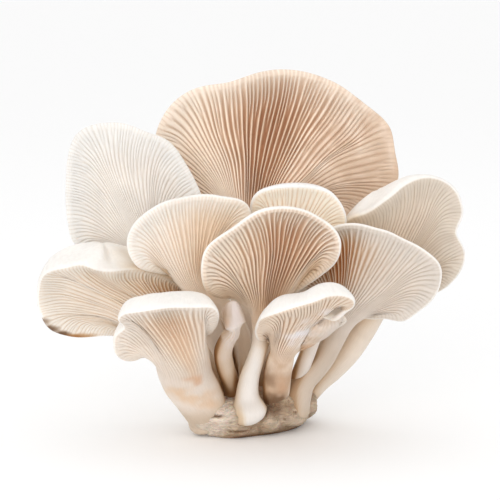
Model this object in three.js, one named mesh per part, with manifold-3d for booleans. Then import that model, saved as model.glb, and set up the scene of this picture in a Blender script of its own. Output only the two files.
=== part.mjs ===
// Oyster mushroom cluster, Pleurotus ostreatus, standing on its cut butt.
// Millimetres, Z up, front towards -Y. The origin is on the cut face.
import * as THREE from "three";
import Module from "manifold-3d";
import { ParametricGeometry } from "three/addons/geometries/ParametricGeometry.js";
import { mergeVertices } from "three/addons/utils/BufferGeometryUtils.js";

const SLICES = 30; // columns round each mushroom
const STEM_RINGS = 5;
const GILL_RINGS = 6;
const RIM_RINGS = 2;
const TOP_RINGS = 4;
const FRONT_ANGLE = 130; // degrees to each side of the stem's front that the gilled fan takes up
const FRONT_SHARE = 0.78; // of the columns that run along the gilled fan
const HEFT_SHARE = 0.12; // of the fan at each end, over which the edge thickens towards the stem
const HEEL_REACH = 0.5; // how far the flesh above the stem bulges, against the rest of the cap
const HEEL_LIFT = 0.3; // how far the heel tips up along the stem
const HEEL_ROLL = 80; // degrees that the edge turns through at the heel
const HEEL_PUFF = 1.2;
const EDGE_ROLL = 150; // degrees that the edge of an open fan turns through
const EDGE_PUFF = 1;
const EDGE_PULL = 0.9; // how straight the gills run out at the edge
const CROWN_PULL = 0.8; // how flat the top of the cap is at its crown
const EDGE_STEPS = 800; // of the edge's length table
const CLEARANCE = 0.35; // between a foot and its socket
const SOCKET_HEIGHT = 26; // a socket is open up to here
const BASE_HEIGHT = 15.5;
const BASE_SLICES = 32;
const BASE_MIDDLE = -3; // where the middle of the butt lies along X
const LUMP_SQUASH = 0.85;

const TONES = {
  cream: [0xe9dccb, 0.7],
  butt: [0xb59674, 0.9],
};

// Each mushroom has stem centres with a radius, foot first; the front of the cap's edge, from
// its left end over the top to its right end; the back of the edge, behind the neck; and the
// crown of the cap's top, with the way it faces where that isn't straight away from the gills.
// face is the way the gills look. flare is how far the gills run on along the stem, open is how
// fast they spread at the neck, and cup is how far the edge turns towards the front. rim and
// heel are the edge's radius on the fan and above the stem. Where the top shows as a band or a
// dome, the edge has its own roll in degrees, and its puff is how full the top is.
const MUSHROOMS = {
  back_large: {
    stem: [
      [1, 14, 8, 6.5], [0, 14, 18, 6.7], [-2.4, 14, 31, 8], [-4, 14, 52, 7.6], [-3, 15, 76, 7],
    ],
    front: [
      [-20, 22, 83], [-31, 21, 87], [-39, 21, 98], [-42.5, 21, 111], [-40, 21, 122.5],
      [-33, 21, 131], [-24.5, 20, 135.5], [-14, 19, 137.5], [-4, 21, 140], [6, 23, 142],
      [18.5, 22, 141], [29, 21, 137.5], [37, 20, 132.5], [45, 19, 127], [52, 18, 120.5],
      [54, 17, 109], [55, 17, 98], [50, 17, 89], [39, 18, 82.5], [25, 21, 81.5],
    ],
    back: [[12, 29, 83], [-3, 31, 84], [-14, 29, 83]],
    crown: [2, 36, 106],
    face: [0, -1, -0.05],
    flare: 0.9, open: 0.25, cup: 0.55, rim: 1.2, heel: 2,
  },
  upper_left: {
    stem: [
      [-11, 12, 8, 5], [-13.6, 13.4, 19, 5.2], [-18, 14.8, 32, 6],
      [-24, 15.5, 47, 5.4], [-33, 14, 61, 5],
      [-43, 11, 71, 5.5],
    ],
    front: [
      [-53, 12, 70], [-63, 9.5, 68], [-73, 7, 72], [-76, 5, 81], [-77, 5, 92],
      [-76.5, 5, 104], [-75, 5, 113], [-70.5, 5, 119], [-63, 4, 122], [-54.5, 4, 122],
      [-45, 5, 119], [-36.5, 6, 115], [-30.5, 7, 107], [-26, 8, 98.5], [-23, 8, 90],
      [-27, 9, 82], [-33, 12, 79.5],
    ],
    back: [[-38, 17, 79], [-44, 19, 79], [-50, 17, 75]],
    crown: [-49, 20, 96],
    face: [0.05, -1, 0],
    flare: 0.9, open: 0.2, cup: 0.45, rim: 1.2, heel: 1.6,
  },
  upper_right: {
    stem: [
      [15, 9, 8, 5.5], [24, 8, 19.5, 6], [32, 6, 27, 6.2], [39, 4, 37, 6.2], [46, 3, 51, 7],
    ],
    front: [
      [38, 6, 60.5], [33, 4, 67], [30.5, 1, 76], [33.5, -2, 84.5], [41.5, -3, 88.5],
      [50, -3, 94.5], [58, -2, 100], [66, -1, 102], [72, -1, 100.5], [76, -1, 98],
      [80, -1, 92], [80.5, -1, 85], [78, -2, 78], [81, -3, 73], [80.5, -4, 65.5],
      [75, -4, 58], [66, -1, 53.5], [57, 4, 52],
    ],
    back: [[55, 9, 58], [50, 12, 61], [43, 10, 62]],
    crown: [47, 7, 95.5],
    crownNormal: [-0.3, 0.45, 0.85],
    face: [0.1, -0.9, -0.45],
    flare: 0.8, open: 0.25, cup: 0.2, rim: 1.3, roll: 120, puff: 1.1, heel: 1.6,
  },
  lower_left: {
    stem: [[-19, 3, 8, 5], [-21, 1, 20, 5], [-26, -2, 31, 5.5], [-33, -4, 38, 6.5]],
    front: [
      [-40, 0, 36], [-48, -5, 35.5], [-56.5, -11, 38.5], [-64.5, -15, 39], [-72, -17, 39.5],
      [-79, -18, 41.5], [-84, -17, 45], [-86, -16, 50], [-87.5, -16, 55.5], [-86.5, -17, 62],
      [-84, -20, 66.5], [-77.5, -22, 68.5], [-69, -22, 70], [-61, -21, 67.5], [-52, -18, 67.5],
      [-41, -12, 65], [-33, -6, 61.5], [-28.5, -1, 56],
    ],
    back: [[-32, 2, 52], [-35, 5, 48], [-38, 4, 42]],
    crown: [-63, -7, 76],
    crownNormal: [0, 0.35, 0.9],
    face: [0.25, -0.9, -0.5],
    flare: 0.7, open: 0.25, cup: 0.25, rim: 1.2, roll: 115, puff: 1.5, heel: 1.6,
  },
  mid_left: {
    stem: [
      [-4, -1.5, 8, 3.5], [-5.6, -2.5, 24, 3.2], [-6.8, -3.5, 38, 3.2], [-14, -5, 49, 4],
      [-22, -7, 55, 4.5],
    ],
    front: [
      [-29.5, -5, 60], [-34, -9, 62.5], [-41, -14, 64.5], [-47, -18, 67], [-50.5, -20, 71.5],
      [-52, -20, 77], [-50.5, -20, 83.5], [-45, -20, 89.5], [-37, -20, 94], [-29, -19, 96],
      [-21.5, -18, 97], [-13.5, -17, 96], [-7.5, -16, 94.5], [-4, -15, 91.5], [-3, -13, 84],
      [-5, -10, 72], [-10, -7, 65], [-15, -5, 62],
    ],
    back: [[-19, 0, 62], [-23, 1, 62.5], [-27, -1, 62]],
    crown: [-27, -3, 81],
    face: [0.05, -1, -0.1],
    flare: 0.85, open: 0.25, cup: 0.5, rim: 1.2, heel: 2,
  },
  mid_back: {
    stem: [[5, 1.5, 8, 3.5], [11, 2, 34, 3.6], [13, 1.5, 56, 3.8], [12, 0, 71, 4.5]],
    front: [
      [5, 1, 76], [-0.5, -1, 78], [-3.4, -4, 84.5], [-3.8, -7, 91.5], [-1.6, -8, 95.6],
      [4, -8, 98], [12, -8, 99], [20, -8, 98.6], [27, -8, 96.6], [31.5, -8, 92.5],
      [34, -8, 86.5], [32.5, -5, 79], [26, -1, 75.5], [18, 1.5, 76],
    ],
    back: [[16, 5, 79], [12, 7, 80], [8, 5, 79]],
    crown: [15, 3, 94],
    crownNormal: [0, 0.6, 0.8],
    face: [0, -0.9, -0.45],
    flare: 0.8, open: 0.3, cup: 0.15, rim: 1, roll: 115, puff: 1.6, heel: 1.4,
  },
  center: {
    stem: [
      [-2.8, -16, 8, 6], [-5.2, -17.5, 18, 4.6], [-3.2, -19.5, 27.5, 3.5], [-0.3, -21, 36.5, 3.2],
      [1.2, -20, 46, 4.6],
    ],
    front: [
      [-7, -17, 54.5], [-13, -22, 56], [-18.5, -30, 58.5], [-22, -37, 63.5], [-22.5, -40, 70],
      [-21.5, -40, 76], [-17.5, -39, 81], [-9.5, -39, 86.5], [-2, -38, 91], [3.5, -38, 93],
      [10, -37, 93.5], [17, -36, 92], [23, -35, 89], [28, -34, 85], [31, -34, 79.5],
      [31, -33, 74.5], [28.5, -30, 69.5], [23, -26, 65], [16, -21, 59.5], [10, -16, 55.5],
    ],
    back: [[7, -12, 56], [2, -10, 56.5], [-4, -13, 56]],
    crown: [4, -15, 74],
    face: [0, -1, -0.05],
    flare: 0.85, open: 0.25, cup: 0.8, rim: 1.1, heel: 1.6,
  },
  front_right: {
    stem: [[5.8, -8.6, 8, 4.2], [6.4, -13.2, 18, 5.5], [7.2, -18, 27, 5.6], [9, -23, 35, 5]],
    front: [
      [-0.5, -30, 42], [-1.8, -37, 46.5], [-1.5, -45, 50.5], [-0.3, -53, 54], [3.5, -57, 56.5],
      [10.8, -58, 59], [18, -58, 61], [25.5, -57, 64], [31.5, -55, 64], [36, -51, 60.5],
      [34, -47, 56], [28, -44, 53], [21.5, -39, 51], [17, -33, 47], [14, -28, 45],
    ],
    back: [[12.5, -25, 45], [8, -24, 46.5], [2, -26, 44.5]],
    crown: [16, -41, 61],
    crownNormal: [0, 0.6, 0.8],
    face: [0.05, -0.7, -0.75],
    flare: 0.6, open: 0.3, cup: 0.1, rim: 1.2, roll: 110, puff: 1.5, heel: 2,
  },
  right: {
    stem: [
      [18, -2, 8, 4.5], [19.8, -3.6, 19.5, 4.5], [23.8, -6.6, 26, 4.5], [28, -9.6, 35, 4.4],
      [32, -11, 44.5, 5.2],
    ],
    front: [
      [23, -6.5, 52], [15.5, -8, 56.5], [13.4, -10.5, 65], [18, -13.5, 76], [29, -18, 83.5],
      [35.5, -19, 85], [44.5, -20, 83], [50.5, -20, 81.5], [56.5, -20, 79], [62, -20, 76.5],
      [66, -20, 73.5], [69, -20, 70.5], [70.5, -20, 65], [69.5, -20, 59], [67, -20, 54.5],
      [61, -19, 49], [55.5, -17, 45.5], [49.5, -14, 46.5], [43.5, -10, 46], [39, -6, 47.5],
    ],
    back: [[38, -5, 51], [35, -3.5, 53], [30, -5, 53]],
    crown: [45, -6, 67],
    face: [0, -1, -0.1],
    flare: 0.85, open: 0.25, cup: 0.5, rim: 1.1, heel: 1.4,
  },
  front_left: {
    stem: [
      [-20.8, -13, 8, 8.2], [-24, -17, 16, 9.7], [-28.8, -21.6, 25, 10.4],
      [-30.4, -27.4, 34, 10.8],
    ],
    front: [
      [-42, -23, 37], [-47, -28, 35], [-51.5, -34, 34.5], [-55, -38, 37], [-56.2, -41, 43],
      [-54.5, -43, 47.5], [-52, -43, 49.5], [-54, -46, 52.5], [-52, -48, 55.5],
      [-47, -50, 57], [-41, -51, 58], [-35.5, -51, 58.5], [-28, -51, 58.5], [-22.5, -50, 58],
      [-18, -49, 57.5], [-15.8, -47, 55], [-16.4, -41, 50], [-17.6, -35, 46.5],
      [-18.8, -29, 45],
    ],
    back: [[-25, -22, 48.5], [-32, -19, 48.5], [-39, -20.5, 43]],
    crown: [-34, -35, 59.5],
    crownNormal: [0, 0.6, 0.8],
    face: [0.1, -0.75, -0.65],
    flare: 0.6, open: 0.2, cup: 0.1, rim: 1.3, roll: 110, puff: 1.6, heel: 1.6,
  },
  young: {
    stem: [
      [-10.4, -5.6, 8, 3], [-11.2, -8, 17, 3.4], [-12.8, -15, 25, 3.6], [-14.7, -22.5, 34, 3.6],
      [-12, -31.5, 43, 3.2],
    ],
    front: [
      [-14, -34.5, 47], [-13.8, -39, 48], [-10.8, -42, 49.4], [-7, -40.6, 50.5],
      [-6, -37, 50.5],
    ],
    back: [[-8, -33.3, 50], [-11, -32.2, 49.5], [-13.6, -32.6, 48]],
    crown: [-10.4, -37.6, 57.6],
    crownNormal: [0, -0.1, 1],
    face: [0.1, -0.6, -0.7],
    flare: 0.5, open: 0.6, cup: 0, rim: 0.9, roll: 90, puff: 1.9, heel: 0.9,
  },
  small_stub: {
    stem: [[13.6, -8.5, 8, 2.7], [14.6, -9.2, 20, 3.2], [17.6, -12.6, 30, 3.2], [21, -20.5, 40.5, 3]],
    front: [
      [18, -21, 44], [19, -25, 46.5], [22.5, -30, 48.5], [27, -31.5, 50.5], [31.5, -31.5, 51],
      [33, -30, 49], [29, -26, 46.5], [25, -22, 45.5],
    ],
    back: [[23.5, -19.5, 46], [21.5, -18, 46], [19.2, -19, 45.5]],
    crown: [25, -26, 50],
    crownNormal: [0, 0.6, 0.8],
    face: [0, -0.8, -0.6],
    flare: 0.6, open: 0.3, cup: 0, rim: 0.8, heel: 0.9,
  },
};

// The cut face, counter-clockwise from the front left, how far the butt's side stands out at
// each height, and lumps of mycelium as a centre and a size.
const CUT_FACE = [
  [-14, -20.5], [-8, -20], [-2, -17], [5, -13], [11, -8], [15.5, -1], [18, 8],
  [16, 16], [5, 20], [-8, 19], [-16, 14], [-19, 4], [-20, -9], [-18.5, -17],
];
const SIDE = [[0, 1], [3, 1.07], [6, 1.16], [9, 1.2], [12, 1.08], [14, 0.8], [15, 0.4]];
const LUMPS = [
  [-9, -17, 5, 6.5], [3, -14, 6, 6], [13, -5, 7, 6.5], [17, 8, 7, 6.5], [-19, 8, 7, 6.5],
  [-4, 17, 7, 7],
];

const vector = (p) => new THREE.Vector3(p[0], p[1], p[2]);
const unit = (p) => vector(p).normalize();
const across = (v, normal) => v.clone().addScaledVector(normal, -v.dot(normal)).normalize();
const smooth = (t) => t * t * (3 - 2 * t);

function hermite(from, fromPull, to, toPull, t) {
  const a = 2 * t ** 3 - 3 * t ** 2 + 1;
  const b = t ** 3 - 2 * t ** 2 + t;
  const c = t ** 3 - t ** 2;
  return from.clone().multiplyScalar(a)
    .addScaledVector(fromPull, b)
    .addScaledVector(to, 1 - a)
    .addScaledVector(toPull, c);
}

// A stem as a centre line with a radius anywhere along it.
function stemOf(points) {
  const line = new THREE.CatmullRomCurve3(points.map(vector), false, "centripetal");
  const last = points.length - 1;
  const radius = (t) => {
    const i = Math.min(Math.floor(t * last), last - 1);
    return THREE.MathUtils.lerp(points[i][3], points[i + 1][3], smooth(t * last - i));
  };
  return { line, radius };
}

function ringOf(centre, along, face, radius, angles) {
  const front = across(face, along);
  const right = along.clone().cross(front);
  return angles.map((a) => centre.clone()
    .addScaledVector(front, radius * Math.cos(a))
    .addScaledVector(right, radius * Math.sin(a)));
}

// The edge of the cap at each column, how far each column is behind the neck and its angle.
function edgeOf(m) {
  const edge = [...m.front, ...m.back].map(vector);
  const curve = new THREE.CatmullRomCurve3(edge, true, "centripetal");
  curve.arcLengthDivisions = EDGE_STEPS;
  const lengths = curve.getLengths();
  const frontSteps = Math.round((m.front.length - 1) / edge.length * EDGE_STEPS);
  const frontEnd = lengths[frontSteps] / lengths[EDGE_STEPS];
  const side = THREE.MathUtils.degToRad(FRONT_ANGLE);
  const columns = [];
  for (let i = 0; i < SLICES; i++) {
    const s = i / SLICES;
    const onFront = s <= FRONT_SHARE;
    const part = onFront ? s / FRONT_SHARE : (s - FRONT_SHARE) / (1 - FRONT_SHARE);
    const where = onFront ? frontEnd * part : frontEnd + (1 - frontEnd) * part;
    columns.push({
      point: curve.getPointAt(where),
      tangent: curve.getTangentAt(where),
      behind: onFront ? 0 : smooth(Math.min(1, 2 * Math.min(part, 1 - part))),
      heft: onFront ? smooth(Math.max(0, 1 - Math.min(part, 1 - part) / HEFT_SHARE)) : 1,
      angle: onFront ? side * (2 * part - 1) : side + 2 * (Math.PI - side) * part,
    });
  }
  return columns;
}

function ringsOf(m) {
  const { line, radius } = stemOf(m.stem);
  const face = unit(m.face);
  const columns = edgeOf(m);
  const angles = columns.map((c) => c.angle);
  const neck = line.getPoint(1);
  const along = line.getTangent(1);
  const crown = vector(m.crown);
  const crownNormal = m.crownNormal ? unit(m.crownNormal) : face.clone().negate();
  const hub = neck.clone().lerp(crown, 0.5);
  const rings = [angles.map(() => line.getPoint(0))];
  for (let j = 0; j <= STEM_RINGS; j++) {
    const t = j / STEM_RINGS;
    rings.push(ringOf(line.getPoint(t), line.getTangent(t), face, radius(t), angles));
  }
  const start = rings[rings.length - 1];
  const blades = columns.map((c, i) => bladeOf(m, c, start[i], { neck, along, face, hub }));
  for (let j = 1; j <= GILL_RINGS; j++) {
    rings.push(blades.map((b) => hermite(b.from, b.fromPull, b.gillEnd, b.endPull, j / GILL_RINGS)));
  }
  for (let j = 1; j <= RIM_RINGS; j++) {
    rings.push(blades.map((b) => rimPoint(b, j / RIM_RINGS)));
  }
  for (let j = 1; j <= TOP_RINGS; j++) {
    rings.push(blades.map((b) => topPoint(b, crown, crownNormal, j / TOP_RINGS)));
  }
  return rings;
}

// One column of the cap: from the neck along the gills to the edge. Behind the neck the edge
// becomes a rounded heel that faces away from the gills.
function bladeOf(m, column, from, { neck, along, face, hub }) {
  const { point, tangent, behind, heft } = column;
  const away = across(face.clone().negate(), along).addScaledVector(along, HEEL_LIFT).normalize();
  const fanned = across(point.clone().sub(hub), face).addScaledVector(face, m.cup).normalize();
  const out = across(fanned.lerp(away, behind), tangent);
  const gillSide = tangent.clone().cross(out).normalize();
  const roll = THREE.MathUtils.lerp(m.roll ?? EDGE_ROLL, HEEL_ROLL, behind);
  const turn = THREE.MathUtils.degToRad(roll);
  const puff = THREE.MathUtils.lerp(m.puff ?? EDGE_PUFF, HEEL_PUFF, behind);
  const rim = THREE.MathUtils.lerp(m.rim, m.heel, heft);
  const core = point.clone().addScaledVector(out, -rim);
  const gillEnd = core.clone().addScaledVector(gillSide, rim);
  const reach = gillEnd.distanceTo(from) * THREE.MathUtils.lerp(1, HEEL_REACH, heft);
  const fromPull = along.clone().addScaledVector(from.clone().sub(neck).normalize(), m.open)
    .normalize().multiplyScalar(reach * m.flare);
  const endPull = out.clone().multiplyScalar(reach * EDGE_PULL);
  return { from, fromPull, gillEnd, endPull, core, out, gillSide, turn, puff, rim };
}

function rimPoint(b, t) {
  return b.core.clone()
    .addScaledVector(b.gillSide, b.rim * Math.cos(b.turn * t))
    .addScaledVector(b.out, b.rim * Math.sin(b.turn * t));
}

function topPoint(b, crown, crownNormal, t) {
  const from = rimPoint(b, 1);
  const heading = b.out.clone().multiplyScalar(Math.cos(b.turn))
    .addScaledVector(b.gillSide, -Math.sin(b.turn));
  const reach = from.distanceTo(crown);
  const arriving = across(crown.clone().sub(from), crownNormal);
  const fromPull = heading.multiplyScalar(reach * b.puff);
  return hermite(from, fromPull, crown, arriving.multiplyScalar(reach * CROWN_PULL), t);
}

// A closed skin through rings of equal length, the first and last of which are single points.
function skin(rings) {
  const slices = rings[0].length;
  const stacks = rings.length - 1;
  const place = (u, v, target) => {
    const ring = rings[Math.round(v * stacks)];
    target.copy(ring[Math.round(u * slices) % slices]);
  };
  return withoutSlivers(joined(new ParametricGeometry(place, slices, stacks)));
}

// The geometry with its shared vertices merged, and nothing but positions left.
function joined(geometry) {
  geometry.deleteAttribute("normal");
  geometry.deleteAttribute("uv");
  return mergeVertices(geometry, 1e-3);
}

// The geometry without the faces that shrank to a line at a point of the skin.
function withoutSlivers(geometry) {
  const old = geometry.index.array;
  const kept = [];
  for (let i = 0; i < old.length; i += 3) {
    const [a, b, c] = [old[i], old[i + 1], old[i + 2]];
    if (a !== b && b !== c && c !== a) {
      kept.push(a, b, c);
    }
  }
  geometry.setIndex(kept);
  return geometry;
}

// Noise without chance: a few sines make the butt lumpy.
function lumpiness(angle, height) {
  return 0.8 * Math.sin(5 * angle + 0.6 * height)
    + 0.6 * Math.sin(9 * angle - 0.9 * height + 1)
    + 0.5 * Math.sin(14 * angle + 2);
}

function buttSkin() {
  const outline = new THREE.CatmullRomCurve3(CUT_FACE.map((p) => vector([...p, 0])), true);
  const around = (z, grow) => Array.from({ length: BASE_SLICES }, (_, i) => {
    const p = outline.getPointAt(i / BASE_SLICES);
    const bump = z > 0 ? 1 + 0.02 * lumpiness(Math.atan2(p.y, p.x), z) : 1;
    return new THREE.Vector3(p.x * grow * bump, p.y * grow * bump, z);
  });
  const tip = (z) => Array.from(
    { length: BASE_SLICES },
    () => new THREE.Vector3(BASE_MIDDLE, 0, z),
  );
  return skin([tip(0), ...SIDE.map(([z, grow]) => around(z, grow)), tip(BASE_HEIGHT)]);
}

function solidOf(wasm, geometry) {
  return new wasm.Manifold(new wasm.Mesh({
    numProp: 3,
    vertProperties: new Float32Array(geometry.attributes.position.array),
    triVerts: new Uint32Array(geometry.index.array),
  }));
}

function geometryOf(solid) {
  const mesh = solid.getMesh();
  const geometry = new THREE.BufferGeometry();
  geometry.setAttribute("position", new THREE.BufferAttribute(mesh.vertProperties, 3));
  geometry.setIndex(new THREE.BufferAttribute(mesh.triVerts, 1));
  return geometry;
}

// The space a foot takes up in the butt, with clearance all round.
function socketSkin(m) {
  const { line, radius } = stemOf(m.stem);
  const face = unit(m.face);
  const angles = edgeOf(m).map((c) => c.angle);
  const rings = [];
  const low = line.getPoint(0).addScaledVector(line.getTangent(0), -CLEARANCE);
  rings.push(angles.map(() => low.clone()));
  rings.push(ringOf(low, line.getTangent(0), face, radius(0) + CLEARANCE, angles));
  for (let j = 0; j <= STEM_RINGS; j++) {
    const t = j / STEM_RINGS;
    const centre = line.getPoint(t);
    if (centre.z > SOCKET_HEIGHT) {
      break;
    }
    rings.push(ringOf(centre, line.getTangent(t), face, radius(t) + CLEARANCE, angles));
  }
  const lastRing = rings[rings.length - 1];
  const middle = lastRing.reduce((sum, p) => sum.add(p), new THREE.Vector3());
  rings.push(angles.map(() => middle.clone().divideScalar(angles.length)));
  return skin(rings);
}

function buttGeometry(wasm) {
  let butt = solidOf(wasm, buttSkin());
  for (const [x, y, z, size] of LUMPS) {
    const lump = new THREE.IcosahedronGeometry(size, 2);
    lump.scale(1, 1, LUMP_SQUASH);
    lump.translate(x, y, z);
    butt = butt.add(solidOf(wasm, joined(lump)));
  }
  for (const m of Object.values(MUSHROOMS)) {
    butt = butt.subtract(solidOf(wasm, socketSkin(m)));
  }
  const below = new THREE.BoxGeometry(200, 200, 50);
  below.translate(0, 0, -25);
  return geometryOf(butt.subtract(solidOf(wasm, joined(below))));
}

function meshOf(name, geometry, tone) {
  const [color, roughness] = TONES[tone];
  const material = new THREE.MeshStandardMaterial({ color, roughness, metalness: 0 });
  const mesh = new THREE.Mesh(geometry, material);
  mesh.name = name;
  return mesh;
}

async function cluster() {
  const wasm = await Module();
  wasm.setup();
  const group = new THREE.Group();
  group.name = "oyster_mushroom_cluster";
  for (const [name, m] of Object.entries(MUSHROOMS)) {
    group.add(meshOf(`mushroom_${name}`, skin(ringsOf(m)), "cream"));
  }
  group.add(meshOf("butt", buttGeometry(wasm), "butt"));
  return group;
}

export default await cluster();
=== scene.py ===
"""Oyster mushroom cluster: the looks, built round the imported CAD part.

Each CAD mushroom is a coarse grid of rings and columns. It is read back from model.glb, made smooth,
and given real gills, a soft edge, a fibrous stem and painted flesh. The butt and the lower ends of
the stems become one lumpy mass of mycelium. Lengths are in metres, unless a comment says otherwise.
"""
import math
from collections import namedtuple

import bmesh
import bpy
import numpy as np
from mathutils import Matrix, Vector
from mathutils.bvhtree import BVHTree


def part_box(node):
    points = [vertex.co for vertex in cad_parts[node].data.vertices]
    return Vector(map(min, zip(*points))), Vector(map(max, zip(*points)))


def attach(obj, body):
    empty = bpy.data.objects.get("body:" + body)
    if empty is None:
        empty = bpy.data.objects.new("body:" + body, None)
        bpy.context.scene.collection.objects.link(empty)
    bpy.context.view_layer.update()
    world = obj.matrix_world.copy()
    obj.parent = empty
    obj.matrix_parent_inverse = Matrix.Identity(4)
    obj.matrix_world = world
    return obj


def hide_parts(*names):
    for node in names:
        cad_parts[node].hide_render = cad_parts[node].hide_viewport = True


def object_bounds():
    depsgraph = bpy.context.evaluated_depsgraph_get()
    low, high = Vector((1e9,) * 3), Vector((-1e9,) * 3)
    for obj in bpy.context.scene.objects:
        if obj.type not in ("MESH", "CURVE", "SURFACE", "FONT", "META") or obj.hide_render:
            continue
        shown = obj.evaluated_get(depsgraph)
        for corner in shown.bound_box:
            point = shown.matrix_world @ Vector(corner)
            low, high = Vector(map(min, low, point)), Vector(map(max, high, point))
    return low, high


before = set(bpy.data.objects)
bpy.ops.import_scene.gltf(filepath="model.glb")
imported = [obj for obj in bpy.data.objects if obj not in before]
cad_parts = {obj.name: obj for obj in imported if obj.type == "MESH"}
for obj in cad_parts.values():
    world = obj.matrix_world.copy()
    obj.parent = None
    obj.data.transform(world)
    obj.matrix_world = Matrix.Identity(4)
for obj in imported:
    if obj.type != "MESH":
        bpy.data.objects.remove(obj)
cad_box = [np.array(corner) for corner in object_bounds()]

MM = 0.001

# A place on a mushroom is a ring number v along it and a column number u round it. These are the
# CAD rings of the foot, the neck, the end of the gills, the end of the rim and the crown.
FOOT = 1
NECK = 6
GILL_END = 12
RIM_END = 14
CROWN = 18

# The rows and columns of the fine grid.
PHASES = 8  # columns from one long gill to the next
COARSE = 4  # columns per long gill where there are no gills
STEM_STEP = 2 * MM
DECURRENT = 1.1  # how far the gills run down the stem, in CAD rings
DECURRENT_ROWS = 6
GILL_ROWS = 38
GILL_CROWDING = 1.3  # above 1, the rows stand closer near the edge
RIM_ROWS = 7
RIM_OVERRUN = 0.12  # how far the rim's rows run past its end, in CAD rings
TOP_ROWS = 22
TOP_CROWDING = 1.15  # above 1, the rows stand closer near the rim
# A foot's rounded end: the width of each row and how far it is below the foot's ring in mm, and
# how far the last point is below the first row.
FOOT_END = ((0.35, 4.6), (0.65, 4.1), (0.86, 3.2), (0.97, 2.0), (1.0, 1.0))
FOOT_TIP = 0.2 * MM
FLARE_FOOT = 8  # the height in mm at which a stem has its full flare

# The gills.
LONG_GAPS = 2  # gaps from one long gill to the next, at the edge
BUNCHING = 0.16  # how far a long gill stands off its even place, as a share of their distance
LEAST_ROOM = 0.8  # the least distance between gills, in gaps
ROOM_SPREAD = (0.8, 1.35)  # how that differs from gill to gill
START_ROWS = 5  # a gill reaches its full height over this many rows
PLATEAU = 0.45  # of the way from a gill's crest to the next valley, that is still crest
DARK_SHARPENS = 1.6  # how much narrower crests are over a dark bottom
SHORT_LOWERS = 0.15  # how much lower a short gill is than a long one
DARK_START = 0.4  # the width of the dark stretch at the neck, as a share of its full width
DARK_WIDE = 0.7  # how far from the neck to the gills' end it has its full width
STEM_GILL = 0.14  # the height of a gill on the stem, as a share of its full height
EDGE_FLAT = 0.1 * MM  # between the gills and the rim
EDGE_FULL = 2.1 * MM  # a gill rises fast up to this distance from the edge
EDGE_SHARE = 0.3  # to this share of its height
HEIGHT_SPREAD = 0.2  # how much the gills' height differs over the cap
SPARE_FLESH = 0.42  # of the cap's thickness, left under the gills
LEAST_FLESH = 0.25 * MM  # left on top of that
# How far a column wanders to the side from the neck to the edge: two sizes of wave, in columns.
WANDER = 0.07
WANDER_FINE = 0.03
WANDER_FINE_SCALE = 2.3
WANDER_ROUND = 6  # waves round the cap
WANDER_ALONG = 2.2  # and from the neck to the edge

# Rays that measure the flesh behind a point, and how enclosed it is, which sets how much painted shade
# it gets.
FLESH_REACH = 20 * MM
FLESH_LIFT = 0.25 * MM
SHADE_LIFT = 1.2 * MM
SHADE_REACH = 32 * MM
SHADE_RAYS = 24
SHADE_FULL = 0.75  # the enclosure from which SHADE_TINT is full
DEEP_SHADE_FROM = 0.45  # the enclosure from which the deeper painted shade on stems begins
DEEP_SHADE_FULL = 0.75  # and that from which it is full

# The gentle unevenness of a mushroom, in mm: everywhere, and what the loose cap has on top.
WAVER = 0.25
WAVER_LOOSE = 0.7
WAVER_SIZE = 15 * MM
WAVER_NONE = 10 * MM  # there is none below this height
WAVER_FULL = 22 * MM  # and all of it above this one
FIBRES_ROUND = 6  # the scale of the fibres' pattern round the stem
FIBRES_ALONG = 0.12  # and along it, per mm

# Seeds. A mushroom's own is added to those of its patterns.
SEED = 11
SEED_STEP = 100  # from one mushroom to the next
HEIGHT_SEED = 3
WANDER_FINE_SEED = 7
SHADE_SEED = 9
PATCH_SEED = 20
RAGGED_SEED = 31
WAVER_SEED = 40
LUMP_SEED = 301
THREAD_SEED = 302
BUTT_PATCH_SEED = 311
BUTT_SPECK_SEED = 312

# The butt. Places are shares of a node's box, each from 0 to 1: left to right, front to back, low
# to high.
BUTT_VOXEL = 0.6 * MM
FEET_TOP = 12 * MM  # the height up to which the stems' lower ends are part of the butt
FEET_SOIL = 5  # a stem with less soil than this, in mm, isn't
FEET_COLUMN = 1.5  # the steps of their grid, in columns and in rings
FEET_RING = 0.12
FEET_SWELL = 0.1  # how much wider than the stem its lower end is
FEET_TAPER = 0.06  # how much of that goes at its top
LUMP_FLATTEN = 0.85
# Flesh that runs down the front left of the butt, and mycelium heaped between the feet: the
# place of each lump in the butt's box, and its radius in mm.
FOOT_LUMPS = (
    ((0.13, 0.22, 0.36), 7.4),
    ((0.15, 0.16, 0.58), 6),
    ((0.23, 0.26, 0.39), 5.5),
    ((0.25, 0.34, 0.71), 4.6),
    ((0.61, 0.26, 0.52), 5.6),
    ((0.69, 0.24, 0.78), 5.2),
    ((0.74, 0.27, 0.52), 5.6),
    ((0.71, 0.42, 0.78), 4.8),
    ((0.83, 0.48, 0.78), 4.4),
    ((0.91, 0.52, 0.71), 4),
    ((0.81, 0.31, 0.42), 4.6),
    ((0.46, 0.26, 0.26), 5.5),
)
# Painted shade, dark brown, in the hollow between the front feet: its place, and its radii in mm.
FEET_GAP_SHADE = (0.63, 0.22, 0.84)
FEET_GAP_SHADE_SIZE = (3.5, 6, 4)
# The butt's left side is cut slanting: where it meets the floor, how far it leans out per unit of
# height, and how much of what stands out past the cut is taken away.
CUT_LEFT = (0.12, 0.5, 0)
CUT_SLOPE = 1.14
CUT_SHARE = 0.85
# Slits in the butt: the place, the size in three directions and the depth, in mm.
BUTT_SLITS = (
    ((0.15, 0.01, 0.62), (4.4, 5, 0.8), 0.8),
    ((0.34, 0.07, 0.21), (5, 5, 0.7), 0.6),
    ((0.62, 0.2, 0.45), (4, 4, 0.7), 0.6),
)
SLIT_FULL = 0.5  # a slit has its full depth up to this share of its size
SLIT_END = 1.2  # and ends at this one
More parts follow.
